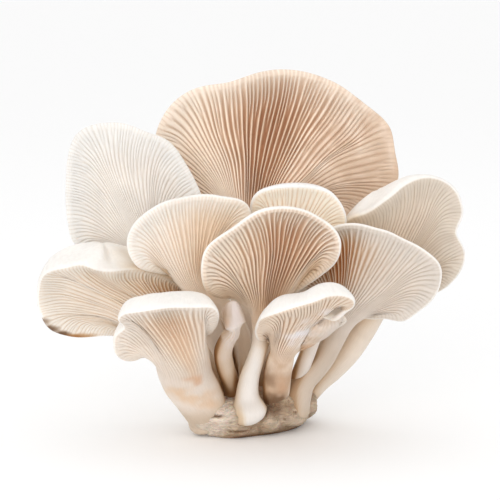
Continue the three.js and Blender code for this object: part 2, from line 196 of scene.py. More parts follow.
# The butt's relief: heights in mm of its lumps and of the mycelium's threads. It is calmer on the
# flesh to the left of CALM_FROM.
LUMP_SIZE = 4.5 * MM
LUMP_HEIGHT = 0.4
THREAD_HEIGHT = 0.28
THREAD_SHARP = 3.2
THREAD_BEND = 1.2
THREAD_BEND_SIZE = 2 * MM
CALM_FROM = (0.2743, 0.5, 0)
CALM_SHARE = 0.85
# Pale flesh lies on the left of a slanting edge: a place on it, and the way into the flesh.
FLESH_EDGE = (0.2948, 0.196, 0.5177)
FLESH_WAY = (-1, -0.25, 0.5)
PALE_FROM = (0.6642, 0.5, 0)  # the butt is paler to the right of this
UNDER_FROM = (0.2332, 0.5, 0.1424)  # and darker under this height and to the right of it
BUTT_PATCH_SIZE = 6 * MM
BUTT_SPECK_SIZE = 1.1 * MM

# The studio and the camera.
FLOOR_SIZE = 14.0
FLOOR_PAPER = (0.98, 0.98, 0.98, 1)
WORLD_LIGHT = 0.98
KEY_PLACE = (-0.25, -1.05, 0.35)
KEY_SIZE = 0.7
KEY_WATTS = 3.5
TOP_PLACE = (0.15, 0.25, 0.95)
TOP_SIZE = 0.8
TOP_WATTS = 0.3
CAMERA_LENS = 150  # in mm, as the sensor's width
CAMERA_SENSOR = 36
CAMERA_TARGET = (0.4952, 0.6183, 0.5074)  # a share of the whole object's box
CAMERA_DISTANCE = 830 * MM
CAMERA_ELEVATION = 8  # in degrees

# Colours as they look, 0 to 255.
WHITE = (240, 236, 231)
FOLD_WHITE = (238, 233, 234)
CREAM = (232, 218, 203)
WARM_CREST = (236, 205, 174)
TAN = (218, 180, 142)
BRUISE = (206, 160, 126)
BROWN = (168, 126, 90)
SCORCHED = (158, 104, 52)
BURNT = (84, 52, 26)
# painted shade, for the depths of crevices and slits
CREVICE_SHADE = (80, 50, 28)
FOOT_FLESH = (226, 210, 194)
MYCELIUM = (168, 141, 115)
MYCELIUM_PALE = (202, 182, 160)
MYCELIUM_DARK = (98, 68, 44)
# What a colour is turned by: added at the cap's edge as a share of the colour, multiplied as painted
# shade where a place is fully enclosed, and multiplied as deeper painted shade on a stem in the gaps
# between the stems.
EDGE_TINT = np.array((0, 0.05, 0.09))
SHADE_TINT = np.array((0.93, 0.86, 0.76))
DEEP_SHADE_TINT = np.array((0.78, 0.66, 0.52))
# The share that is left of the dark painted shade at the neck, and of the painted shade that sets
# crest off from bottom, at the neck and at the edge, with the distance from the edge where it is
# whole.
DARK_NECK = 0.6
NECK_CONTRAST = 0.45
EDGE_CONTRAST = 0.6
CONTRAST_FADE = 8 * MM
PATCH_SIZE = 11 * MM  # the size of the paler and darker patches of a mushroom
PATCH_TINT = 5  # and how much they differ, in steps of colour
# A spot (stains, and a few patches of painted shade and painted light) is full up to one share of its
# radii and gone at another. Its edge is ragged: by how much, as a share of the radii, and the size of
# the teeth.
SPOT_FULL = 0.2
SPOT_END = 1.8
SPOT_RAGGED = 0.8
RAGGED_SIZE = 4 * MM
SOIL_FADE = 7  # millimetres over which a stem turns into the butt's colour
SOIL_RAGGED = 2.5  # how far up or down that moves from place to place, in mm
SOIL_SHARE = 0.85  # how much of that colour it takes

# How each mushroom looks. Lengths are in mm, and shares go from 0 to 1.
# gap: the distance between gills at the edge. depth: a gill's height. short: the share of short
# gills. bare: how far from the neck to the edge the gills are still rising, as a share. fade: how
# far in from the edge they are lower.
# crest and valley: the colours of a gill's edge and of the bottom between two, which is darker with
# painted shade. pale_edge: how
# strongly EDGE_TINT shows. top: the colour of the cap's upper side, which begins at the share
# whitens of the rim. stem: the stem's colour, up to the gills.
# soil: the height below which the stem takes the butt's colour. shade and deep: how strongly
# the painted shade of enclosed places and the deeper painted shade on stems in the gaps show.
# flare: how much wider the stem's foot is than in CAD, as a share, and foot: how far it is moved to
# the right, back and up. Both fade out up to the height flare_top.
# dark: the painted shade between gills that stand far apart, and dark_depth their height there, with
# the middle and the width of that stretch, dark_place and dark_width, as shares of the way round.
# spots: stains, and on some mushrooms patches of painted shade and painted light, each a place as
# shares of the node's box, radii, a colour and a strength.
# The colours carry some painted light and shade: mushroom_right, mushroom_front_left and
# mushroom_young stand low and are painted darker, where less light falls, and mushroom_back_large is
# painted lighter against the shade of the caps in front of it.
PALE = dict(
    gap=1.1, depth=0.5, short=0.3, bare=0.4, fade=2.2,
    crest=(240, 228, 216), shaded_valley=(222, 202, 182), pale_edge=0.35, top=WHITE, whitens=0.15, stem=CREAM,
    soil=10, shade=1, deep=1, flare=0, flare_top=20, foot=(0, 0, 0), spots=())
LOOKS = {
    "mushroom_back_large": PALE | dict(
        gap=1.5, depth=0.85, short=0.4, fade=5, crest=(244, 226, 209), shaded_valley=(214, 188, 165),
        whitens=0.6, shade=0.35, flare=0.25, flare_top=60,
        dark=(164, 114, 80), dark_depth=1.8, dark_place=0.445, dark_width=0.115,
        spots=(
            # painted shade: the right side of the gills darker, where less light falls
            ((0.91, 0.36, 0.69), (24, 8, 34), (202, 172, 146), 0.7),
            # painted light: the gills low by the neck lighter, against the shade of the caps in front
            ((0.53, 0.2, 0.67), (9, 8, 7), (240, 206, 178), 0.45),
        )),
    "mushroom_upper_left": PALE | dict(
        gap=1.15, depth=0.4, crest=(235, 228, 221), shaded_valley=(219, 208, 196), whitens=0.5, shade=0),
    "mushroom_upper_right": PALE | dict(depth=0.35, crest=(215, 200, 184), shaded_valley=(196, 177, 158)),
    "mushroom_lower_left": PALE | dict(
        depth=0.35, crest=(231, 219, 206), shaded_valley=(216, 192, 168),
        dark=(200, 146, 98), dark_depth=1.0, dark_place=0.85, dark_width=0.2,
        spots=(
            ((0.03, 0.18, 0.57), (2.2, 8, 1.2), BURNT, 0.6),
            ((0.07, 0.14, 0.52), (2.6, 8, 1.1), BURNT, 0.8),
            ((0.13, 0.14, 0.49), (3.2, 8, 1.1), BURNT, 0.9),
            ((0.2, 0.18, 0.475), (3.4, 8, 1.1), SCORCHED, 0.9),
            ((0.26, 0.21, 0.47), (3, 8, 0.9), SCORCHED, 0.6),
        )),
    "mushroom_mid_left": PALE | dict(
        gap=1.15, depth=0.4, crest=(242, 229, 217), shaded_valley=(226, 205, 186), pale_edge=0.6,
        dark=(222, 196, 170), dark_depth=0.5, dark_place=0.62, dark_width=0.12),
    "mushroom_mid_back": PALE | dict(
        depth=0.4, crest=(250, 238, 222), shaded_valley=(232, 206, 180), top=(244, 242, 240), whitens=0,
        shade=0.5),
    "mushroom_center": PALE | dict(
        gap=1.3, depth=1.0, short=0.5, crest=(236, 218, 201), shaded_valley=(200, 171, 146),
        stem=(233, 227, 221), soil=4, deep=0.1, flare=0.12, flare_top=18, foot=(-1.2, -3.5, 2.8),
        dark=(188, 143, 109), dark_depth=1.6, dark_place=0.51, dark_width=0.14),
    "mushroom_front_right": PALE | dict(
        gap=1.15, depth=0.9, crest=(225, 204, 184), shaded_valley=(189, 154, 125), shade=0.5,
        spots=(
            # a brown patch low on the stem: partly the stub's own colour, partly painted shade
            ((0.2, 0.68, 0.24), (9, 12, 10), BROWN, 0.55),
            # painted shade in a crevice at the stem's foot
            ((0.12, 0.64, 0.29), (2.6, 5, 6), CREVICE_SHADE, 0.3),
            ((0.29, 0.64, 0.21), (2, 5, 5), BRUISE, 0.5),
            ((0.2, 0.74, 0.135), (7, 6, 2.6), MYCELIUM_DARK, 0.7),
            ((0.66, 0.38, 0.64), (10, 12, 6), FOLD_WHITE, 1),
            ((0.8, 0.3, 0.77), (5, 12, 4), FOLD_WHITE, 0.7),
        )),
    "mushroom_right": PALE | dict(
        gap=1.2, depth=0.45, crest=(216, 203, 191), shaded_valley=(200, 184, 168), stem=(205, 189, 173),
        shade=0.7, deep=0.5, flare=0.25, flare_top=34, foot=(-3.8, -7, 2.5),
        dark=(180, 112, 56), dark_depth=1.5, dark_place=0.31, dark_width=0.12),
    "mushroom_front_left": PALE | dict(
        gap=1.2, depth=0.55, bare=0.9, crest=(221, 207, 194), shaded_valley=(198, 176, 156),
        stem=(226, 213, 201), shade=0.6,
        dark=(196, 160, 132), dark_depth=0.8, dark_place=0.49, dark_width=0.09,
        spots=(
            ((0.14, 0.47, 0.62), (9, 14, 7), (244, 232, 219), 0.6),
            ((0.69, 0.39, 0.4), (3.2, 5, 1.3), BRUISE, 0.6),
            ((0.75, 0.42, 0.37), (1.4, 5, 1.2), BRUISE, 0.5),
            ((0.56, 0.49, 0.3), (5, 6, 1.6), TAN, 0.55),
            ((0.68, 0.51, 0.25), (6, 6, 1.6), TAN, 0.6),
            ((0.82, 0.53, 0.2), (6, 6, 1.8), TAN, 0.55),
            ((0.87, 0.58, 0.27), (3, 6, 1.6), TAN, 0.3),
        )),
    "mushroom_young": PALE | dict(
        depth=0.3, crest=(220, 206, 197), top=(212, 200, 194), stem=(214, 196, 178),
        spots=(((0.34, 0.12, 0.87), (1.8, 4, 1.6), BRUISE, 0.5),)),
    "mushroom_small_stub": PALE | dict(
        gap=0.85, depth=0.3, crest=(230, 218, 206), shaded_valley=(214, 200, 186), top=(222, 210, 198),
        stem=(226, 216, 208), flare_top=34, foot=(0.5, 3.5, 0)),
}


# ---- places, colours and noise ----


def place_in(node, share):
    """The point at a share of a node's box, in metres."""
    low, high = (np.array(corner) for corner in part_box(node))
    return low + (high - low) * share


def away_from(node, share, radii, points):
    """How far points are from a place in a node's box, in radii that are given in mm."""
    return np.linalg.norm((points - place_in(node, share)) / MM / radii, axis=1)


def linear(color):
    """A colour as it looks, in the shader's linear terms."""
    c = np.array(color, float) / 255
    return np.where(c <= 0.04045, c / 12.92, ((c + 0.055) / 1.055) ** 2.4)


def paint_of(color):
    """Colours as they look, turned into the linear red, green, blue and alpha of a colour layer."""
    rgb = np.clip(linear(np.clip(color, 0, 255)), 0, 1)
    return np.concatenate([rgb, np.ones(rgb.shape[:-1] + (1,))], axis=-1)


def smooth(t):
    """0 up to t = 0, 1 from t = 1, and a soft step between."""
    t = np.clip(t, 0, 1)
    return t * t * (3 - 2 * t)


def step(value, none, full):
    """0 where a value is at or before none, 1 at or past full, and a soft step between."""
    return smooth((value - none) / (full - none))


def rising(low, t):
    """A share that is low at t = 0 and rises to 1 at t = 1."""
    return low + (1 - low) * t


def mix(a, b, t):
    """Colour a at t = 0 and colour b at t = 1, for one t or for a row of them."""
    t = np.asarray(t)[..., None]
    return np.asarray(a, float) * (1 - t) + np.asarray(b, float) * t


def lattice(cell, seed):
    """A number from -1 to 1 for each whole-numbered cell, the same on each run."""
    x, y, z = (cell[..., k].astype(np.int64) for k in range(3))
    h = (x * 73856093) ^ (y * 19349663) ^ (z * 83492791) ^ (seed * 2654435761)
    h = (h ^ (h >> 13)) * 1274126177 & 0xFFFFFFFF
    h = (h ^ (h >> 16)) * 668265263 & 0xFFFFFFFF
    return ((h >> 8) & 0xFFFF) / 32767.5 - 1


def noise(points, seed):
    """Smooth noise from -1 to 1 at points one unit apart per feature."""
    cell = np.floor(points)
    part = smooth(points - cell)
    total = 0
    for corner in np.ndindex(2, 2, 2):
        near = np.where(np.array(corner) == 1, part, 1 - part).prod(-1)
        total = total + near * lattice(cell + np.array(corner), seed)
    return total


def rough_noise(points, seed, octaves=3):
    """Noise with finer and weaker noise on top."""
    return sum(noise(points * 2**k, seed + k) / 2**k for k in range(octaves)) / 1.5


# ---- the CAD mushroom as a grid of rings and columns ----


def welded(node):
    """The node's corners without repeats, and its triangles."""
    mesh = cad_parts[node].data
    corners = np.array([v.co for v in mesh.vertices], float)
    mesh.calc_loop_triangles()
    triangles = np.array([t.vertices for t in mesh.loop_triangles])
    _, first, index = np.unique(
        np.round(corners / (0.0005 * MM)), axis=0, return_index=True, return_inverse=True)
    return corners[first], index.reshape(-1)[triangles]


def steps_from(start, triangles, count):
    """How many edges each corner is away from the start."""
    level = np.full(count, -1)
    level[start] = 0
    reached = 0
    while (level < 0).any():
        near = (level[triangles] == reached).any(1)
        fresh = triangles[near].ravel()
        fresh = fresh[level[fresh] < 0]
        reached += 1
        level[fresh] = reached
    return level


def grid_of(node):
    """The node's rings as an array of ring, column and point. Column 0 is behind the neck."""
    corners, triangles = welded(node)
    valence = np.bincount(triangles.ravel(), minlength=len(corners))
    poles = np.argsort(valence)[-2:]
    foot, crown = sorted(poles, key=lambda i: corners[i][2])
    level = steps_from(foot, triangles, len(corners))
    follower, above = {}, {}
    for turn in range(3):
        a, b, c = (triangles[:, (turn + k) % 3] for k in range(3))
        low = (level[a] == level[b]) & (level[c] == level[a] + 1)
        follower.update(zip(a[low], b[low]))
        above.update(zip(a[low], c[low]))
    ring = [int(np.flatnonzero(level == FOOT)[0])]
    while follower[ring[-1]] != ring[0]:
        ring.append(follower[ring[-1]])
    rings = [[foot] * len(ring), ring]
    while rings[-1][0] != crown:
        rings.append([above[i] for i in rings[-1]])
    grid = corners[np.array(rings)]
    gills = grid[NECK : GILL_END + 1]
    lengths = np.linalg.norm(np.diff(gills, axis=0), axis=2).sum(0)
    soft = lengths + np.roll(lengths, 1) + np.roll(lengths, -1)
    return np.roll(grid, -int(soft.argmin()), axis=1)


class Surface:
    """A smooth skin through the grid, at any column u and any ring v."""

    def __init__(self, grid):
        self.columns = grid.shape[1]
        response = (4 + 2 * np.cos(2 * np.pi * np.fft.fftfreq(self.columns))) / 6
        spectrum = np.fft.fft(grid, axis=1) / response[None, :, None]
        self.knots = np.fft.ifft(spectrum, axis=1).real

    def ring(self, index, u):
        """The points of a whole-numbered ring, by a spline round it."""
        if index < FOOT:
            return 2 * self.ring(FOOT, u) - self.ring(FOOT + 1, u)
        if index > CROWN:
            return self.ring(2 * CROWN - index, u + self.columns / 2)
        low = np.floor(u).astype(int)
        f = (u - low)[..., None]
        weights = (
            (1 - f) ** 3,
            3 * f**3 - 6 * f**2 + 4,
            -3 * f**3 + 3 * f**2 + 3 * f + 1,
            f**3,
        )
        knots = self.knots[index]
        return sum(w * knots[(low + k - 1) % self.columns] for k, w in enumerate(weights)) / 6

    def at(self, u, v):
        """The points of one row: columns u, all at ring v."""
        low = min(int(v), CROWN - 1)
        f = v - low
        p0, p1, p2, p3 = (self.ring(low + k, u) for k in (-1, 0, 1, 2))
        d0, d1, d2 = (
            np.sqrt(np.linalg.norm(b - a, axis=-1, keepdims=True) + 1e-9)
            for a, b in ((p0, p1), (p1, p2), (p2, p3))
        )
        m1 = ((p1 - p0) / d0 - (p2 - p0) / (d0 + d1) + (p2 - p1) / d1) * d1
        m2 = ((p2 - p1) / d1 - (p3 - p1) / (d1 + d2) + (p3 - p2) / d2) * d1
        return (
            p1 * (2 * f**3 - 3 * f**2 + 1)
            + m1 * (f**3 - 2 * f**2 + f)
            + p2 * (3 * f**2 - 2 * f**3)
            + m2 * (f**3 - f**2)
        )


def normals_of(rows):
    """The outward direction at each point of a block of rows with equal columns."""
    across = np.roll(rows, -1, axis=1) - np.roll(rows, 1, axis=1)
    along = np.gradient(rows, axis=0)
    normal = np.cross(across, along)
    normal /= np.linalg.norm(normal, axis=2, keepdims=True) + 1e-12
    return normal


def around(u, columns):
    """Seamless coordinates for noise round the stem."""
    angle = 2 * np.pi * u / columns
    return np.stack([np.cos(angle), np.sin(angle)], axis=-1)


def gill_share(v):
    """How far ring v is from the neck, at 0, to the end of the gills, at 1."""
    return (v - NECK) / (GILL_END - NECK)


# ---- what rays measure ----


def thickness_of(surface):
    """The flesh behind each point of the gilled side, on a coarse grid of ring and column."""
    u = np.arange(0, surface.columns, 0.5)
    v = np.arange(NECK - 1, CROWN - 0.2, 0.34)
    rows = np.array([surface.at(u, s) for s in v])
    points = rows.reshape(-1, 3)
    n = len(u)
    quads = [
        (j * n + i, j * n + (i + 1) % n, (j + 1) * n + (i + 1) % n, (j + 1) * n + i)
        for j in range(len(v) - 1)
        for i in range(n)
    ]
    tree = BVHTree.FromPolygons([Vector(p) for p in points], quads)
    normal = normals_of(rows)
    gilled = v <= GILL_END + 0.4
    depth = np.full((gilled.sum(), n), FLESH_REACH)
    for j in range(gilled.sum()):
        for i in range(n):
            inward = -normal[j, i]
            start = Vector(rows[j, i] + inward * FLESH_LIFT)
            distance = tree.ray_cast(start, Vector(inward), FLESH_REACH)[3]
            if distance is not None:
                depth[j, i] = distance + FLESH_LIFT
    lowest = np.minimum(depth, np.minimum(np.roll(depth, 1, axis=1), np.roll(depth, -1, axis=1)))
    soft = (lowest + np.roll(lowest, 1, axis=1) + np.roll(lowest, -1, axis=1)) / 3
    return u, v[gilled], soft


def flesh_at(thickness, u, v, columns):
    """The thickness at columns u of ring v."""
    places, rings, depth = thickness
    row = np.array([np.interp(v, rings, depth[:, i]) for i in range(len(places))])
    return np.interp(u % columns, np.append(places, columns), np.append(row, row[0]))


def solid_tree():
    """All the CAD solids as one tree to cast rays at."""
    points, faces = [], []
    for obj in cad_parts.values():
        first = len(points)
        points += [v.co.copy() for v in obj.data.vertices]
        faces += [[first + i for i in p.vertices] for p in obj.data.polygons]
    return BVHTree.FromPolygons(points, faces)


def enclosure(surface, everything, rng):
    """How much the rest of the cluster closes each grid point in, from 0 to 1, which sets its painted
    shade.
    """
    u = np.arange(0, surface.columns, 1.0)
    rows = np.array([surface.at(u, v) for v in range(FOOT, CROWN)])
    normal = normals_of(rows)
    closed = np.zeros(rows.shape[:2])
    for j, i in np.ndindex(closed.shape):
        start = Vector(rows[j, i] + normal[j, i] * SHADE_LIFT)
        for _ in range(SHADE_RAYS):
            way = rng.normal(size=3)
            way = way / np.linalg.norm(way) + normal[j, i]
            distance = everything.ray_cast(start, Vector(way), SHADE_REACH)[3]
            if distance is not None:
                closed[j, i] += (1 - distance / SHADE_REACH) / SHADE_RAYS
    for _ in range(2):
        closed = (np.roll(closed, 1, axis=1) + 2 * closed + np.roll(closed, -1, axis=1)) / 4
    crown = np.full((1, closed.shape[1]), closed[-1].mean())
    return np.concatenate([closed, crown])


def closed_at(closed, u, v):
    """The enclosure at columns u of ring v."""
    row = min(max(v - FOOT, 0), len(closed) - 1.001)
    low = int(row)
    line = closed[low] * (1 - (row - low)) + closed[low + 1] * (row - low)
    count = len(line)
    left = np.floor(u).astype(int)
    part = smooth(u - left)
    return line[left % count] * (1 - part) + line[(left + 1) % count] * part


# ---- gills ----


def darkness(look, u, columns, r=1.0):
    """Where gills stand far apart over a bottom darkened with painted shade: 1 in the middle of that
    stretch.
    """
    if "dark" not in look:
        return np.zeros(len(u))
    width = look["dark_width"] * rising(DARK_START, step(r, 0, DARK_WIDE))
    away = (u / columns - look["dark_place"]) / width
    return np.exp(-(away**2))


def gill_columns(look, surface, rng):
    """The columns of the fine grid, bunched a little unevenly as gills are."""
    ring = surface.ring(GILL_END, np.arange(0, surface.columns, 0.05))
    length = np.linalg.norm(ring - np.roll(ring, 1, axis=0), axis=1).sum()
    count = round(length / (look["gap"] * MM * LONG_GAPS))
    centres = np.arange(count + 1) + np.append(rng.uniform(-BUNCHING, BUNCHING, count), 0)
    centres[-1] = centres[0] + count
    steps = np.arange(count * PHASES) / PHASES
    return np.interp(steps, np.arange(count + 1), centres) * surface.columns / count


def gill_rows():
    """The rings of the gilled side's rows, with the last stretch of the stem."""
    low = np.linspace(NECK - DECURRENT, NECK, DECURRENT_ROWS + 1)[:-1]
    t = np.linspace(0, 1, GILL_ROWS)
    return np.concatenate([low, NECK + (GILL_END - NECK) * (1 - (1 - t) ** GILL_CROWDING)])


def gill_starts(look, room, dark, rng):
    """The row where the middle gill of each period starts, between those of its two short ones.

    room is the distance between long gills at each row and period. A gill starts where it has
    the least room that it needs on both sides.
    """
    rows, count = room.shape
    least = look["gap"] * MM * LEAST_ROOM * rng.uniform(*ROOM_SPREAD, (3, count))
    starts = np.stack([
        (room < 4 * least[0]).sum(0),
        (room < 2 * least[1]).sum(0),
        (room < 4 * least[2]).sum(0),
    ], axis=1).astype(float)
    never = 9.0 * rows
    absent = rng.uniform(0, 1, (count, 2)) > (look["short"] * (1 - dark))[:, None]
    starts[:, (0, 2)] = np.where(absent, never, starts[:, (0, 2)])
    return starts


def gill_height(starts, dark, row):
    """How much of a gill there is at each column of a row, 0 in a valley and 1 on a crest."""
    phase = np.arange(len(starts) * PHASES) % PHASES
    period = np.arange(len(starts) * PHASES) // PHASES
    half, quarter = PHASES // 2, PHASES // 4
    begun = step(row, starts, starts + START_ROWS)
    short = np.where(phase >= half, begun[period, 2], begun[period, 0])
    flat = PLATEAU * (1 - dark)
    power = 1 + DARK_SHARPENS * dark
    height = 0
    for spread, share in ((PHASES, 1), (half, begun[period, 1]), (quarter, short)):
        away = np.abs((phase + spread / 2) % spread - spread / 2) / (spread / 2)
        shape = (1 - step(away, flat, 1)) ** power
        height = height * (1 - share) + shape * share
    on_short = np.abs(phase % half - quarter) < quarter / 2 + 1
    return height * (1 - SHORT_LOWERS * short * on_short)


def envelope(r, to_edge, look):
    """How high the gills are: r is 0 at the neck and 1 at the gills' end, to_edge a distance."""
    down_stem = STEM_GILL * step(r, gill_share(NECK - DECURRENT), 0)
    from_neck = rising(STEM_GILL, step(r, 0, look["bare"]))
    from_edge = EDGE_SHARE * step(to_edge, EDGE_FLAT, EDGE_FULL)
    from_edge = from_edge + (1 - EDGE_SHARE) * step(to_edge, 0, look["fade"] * MM)
    return np.where(r < 0, down_stem, from_neck * from_edge)


def wandering(u, v, columns, seed):
    """Columns u at ring v, moved to the side a little, so that the gills aren't straight."""
    r = gill_share(v)
    along = np.full((len(u), 1), r * WANDER_ALONG)
    place = np.concatenate([around(u, columns) * WANDER_ROUND, along], axis=1)
    moved = noise(place, seed) * WANDER
    moved = moved + noise(place * WANDER_FINE_SCALE, seed + WANDER_FINE_SEED) * WANDER_FINE
    return u + moved * step(r, 0, 0.3) * step(r, 1.25, 0.95)


# ---- building one mushroom ----

# One row of a mushroom: its points, its columns, its ring, how much of a gill there is at each
# column, and how far each column is from the gills' end.
Row = namedtuple("Row", "points u v height to_edge", defaults=(1, 0))


def gill_side(surface, look, u, seed, rng):
    """The rows of the gilled side, with the last stretch of the stem."""
    columns = surface.columns
    v_gills = gill_rows()
    u_gills = np.array([wandering(u, v, columns, seed) for v in v_gills])
    base = np.array([surface.at(ui, v) for ui, v in zip(u_gills, v_gills)])
    normal = normals_of(base)
    for _ in range(3):
        normal = (np.roll(normal, 1, axis=1) + normal * 2 + np.roll(normal, -1, axis=1)) / 4
    along = np.linalg.norm(np.diff(base, axis=0), axis=2)
    to_edge = np.concatenate([np.cumsum(along[::-1], axis=0)[::-1], np.zeros((1, len(u)))])
    long_gills = base[:, ::PHASES]
    room = np.linalg.norm(np.roll(long_gills, -1, axis=1) - long_gills, axis=2)
    dark = darkness(look, u, columns)
    starts = gill_starts(look, np.maximum.accumulate(room, axis=0), dark[::PHASES], rng)
    height = np.array([gill_height(starts, dark, row) for row in range(len(base))])
    thickness = thickness_of(surface)
    flesh = np.array([flesh_at(thickness, ui, v, columns) for ui, v in zip(u_gills, v_gills)])
    tall = (look["depth"] + (look.get("dark_depth", 0) - look["depth"]) * dark) * MM
    uneven = 1 + HEIGHT_SPREAD * noise(base / (9 * MM), seed + HEIGHT_SEED)
    want = tall * envelope(gill_share(v_gills)[:, None], to_edge, look) * uneven
    depth = np.minimum(want, np.maximum(0, flesh * (1 - SPARE_FLESH) - LEAST_FLESH))
    points = base - normal * (depth * (1 - height))[..., None]
    return [Row(*row) for row in zip(points, u_gills, v_gills, height, to_edge)]


def flared(ring, look):
    """A ring of a stem, wider and moved aside the nearer it is to the butt."""
    middle = ring.mean(0)
    low = step(middle[2] / MM, look["flare_top"], FLARE_FOOT)
    wider = 1 + look["flare"] * low
    return middle + (ring - middle) * wider + np.array(look["foot"]) * low * MM


def stem_side(surface, look, u):
    """The rows of the stem, from the point below the foot to where the gills begin."""
    length = np.linalg.norm(surface.at(u, FOOT)[0] - surface.at(u, NECK)[0])
    v_stem = np.linspace(FOOT, NECK - DECURRENT, round(length / STEM_STEP), endpoint=False)
    stem = [Row(flared(surface.at(u, v), look), u, v) for v in v_stem]
    foot = stem[0].points
    middle = foot.mean(0)
    end = [
        Row(middle + (foot - middle) * width - (0, 0, drop * MM), u, FOOT)
        for width, drop in FOOT_END
    ]
    tip = end[0].points.mean(0, keepdims=True) - (0, 0, FOOT_TIP)
    return [Row(tip, u[:1], FOOT)] + end + stem


def upper_side(surface, u, low, height, seed):
    """The rows of the rim and of the cap's upper side, up to the crown."""
    rows = []
    for v in np.linspace(GILL_END, RIM_END + RIM_OVERRUN, RIM_ROWS + 1)[1:]:
        moved = wandering(u, v, surface.columns, seed)
        rows.append(Row(surface.at(moved, v), moved, v, height))
    begin = rows[-1].v
    for t in np.linspace(0, 1, TOP_ROWS + 1)[1:-1]:
        v = begin + (CROWN - begin) * t**TOP_CROWDING
        rows.append(Row(surface.at(low, v), low, v))
    rows.append(Row(surface.at(low[:1], CROWN - 1e-6), low[:1], CROWN))
    return rows


def wavered(points, v, seed):
    """Points moved a little, the same for all that is close together, and more on the loose cap."""
    amount = (step(v, NECK, NECK + 3) * WAVER_LOOSE + WAVER) * MM
    amount = amount * step(points[:, 2], WAVER_NONE, WAVER_FULL)
    moves = [noise(points / WAVER_SIZE, seed + WAVER_SEED + k) for k in range(3)]
    return points + np.stack(moves, axis=-1) * amount[:, None]


def growth_of(u, length, columns):
    """Coordinates for fibres: round the stem, and along it."""
    ring = around(u, columns) * FIBRES_ROUND
    return np.concatenate([ring, np.full((len(u), 1), length / MM * FIBRES_ALONG)], axis=1)


def gill_color(look, row, columns):
    """The colours of a row of gills: pale crests over bottoms darkened with painted shade, most over
    the dark stretch, and a paler edge.
    """
    r = gill_share(row.v)
    dark = darkness(look, row.u, columns, r) * step(r, 1, 0.7) * rising(DARK_NECK, step(r, 0, 0.5))
    bottom = mix(look["shaded_valley"], look.get("dark", look["shaded_valley"]), dark)
    ridge = mix(look["crest"], WARM_CREST, 0.6 * dark)
    contrast = rising(NECK_CONTRAST, np.maximum(step(r, 0, look["bare"]), 0.5 * dark))
    contrast = contrast * rising(EDGE_CONTRAST, step(row.to_edge, 0, CONTRAST_FADE))
    color = mix(ridge, bottom, (1 - row.height) * contrast)
    return color * (1 + look["pale_edge"] * step(r, 0.65, 0.95) * EDGE_TINT)


def with_spots(color, node, row, seed):
    """The colours with the mushroom's spots, which have ragged edges and end at the rim: stains, and a
    few patches of painted shade and painted light.
    """
    ragged = rough_noise(row.points / RAGGED_SIZE, seed + RAGGED_SEED)
    for place, radii, spot_color, strength in LOOKS[node]["spots"]:
        away = away_from(node, place, radii, row.points)
        inside = step(away - SPOT_RAGGED * ragged, SPOT_END, SPOT_FULL)
        color = mix(color, spot_color, strength * inside * step(row.v, RIM_END + 1, RIM_END))
    return color


def paint_row(node, row, columns, shade, seed):
    """The colours of one row of a mushroom."""
    look = LOOKS[node]
    on_stem = step(gill_share(row.v), 0, -0.12) * (1 if row.v < NECK - DECURRENT else 0.7)
    rim = (row.v - GILL_END) / (RIM_END - GILL_END)
    on_top = step(rim, look["whitens"], look["whitens"] + 0.3)
    patchy = rough_noise(row.points / PATCH_SIZE, seed + PATCH_SEED)
    color = mix(gill_color(look, row, columns), look["stem"], on_stem)
    color = mix(color, look["top"], on_top)
    color = with_spots(color + patchy[:, None] * PATCH_TINT, node, row, seed)
    above_soil = row.points[:, 2] / MM - look["soil"] - SOIL_RAGGED * patchy
    color = mix(color, MYCELIUM_PALE, SOIL_SHARE * step(above_soil, SOIL_FADE / 2, -SOIL_FADE / 2))
    # painted shade: darker and warmer where the cluster closes a place in, darker still on stems deep
    # in the gaps
    painted_shade = mix((1, 1, 1), SHADE_TINT, look["shade"] * step(shade, 0, SHADE_FULL))
    if row.v < NECK:
        painted_shade = painted_shade * mix((1, 1, 1), DEEP_SHADE_TINT, look["deep"] * step(shade, DEEP_SHADE_FROM, DEEP_SHADE_FULL))
    return paint_of(color * painted_shade)


def bunch(a, n, b, m):
    """Faces between a row of n corners from corner a and the next row, of m corners from b.

    n and m are equal, or one is a multiple of the other. The faces are four-cornered between
    equal rows and three-cornered otherwise.
    """
    if n < m:
        return [tuple(reversed(face)) for face in bunch(b, m, a, n)]
    if n == m:
        i = np.arange(n)
        j = (i + 1) % n
        return np.stack([a + i, a + j, b + j, b + i], axis=1)
    k = n // m
    faces = [(a + i, a + (i + 1) % n, b + (i + k // 2) // k % m) for i in range(n)]
    faces += [(a + (i * k + k - k // 2) % n, b + (i + 1) % m, b + i) for i in range(m)]
    return faces


def add_layer(mesh, name, values):
    """Gives each corner of a mesh a colour or a vector."""
    kind, field = ("FLOAT_COLOR", "color") if values.shape[-1] == 4 else ("FLOAT_VECTOR", "vector")
    layer = mesh.attributes.new(name, kind, "POINT")
    layer.data.foreach_set(field, values.astype(np.float32).ravel())


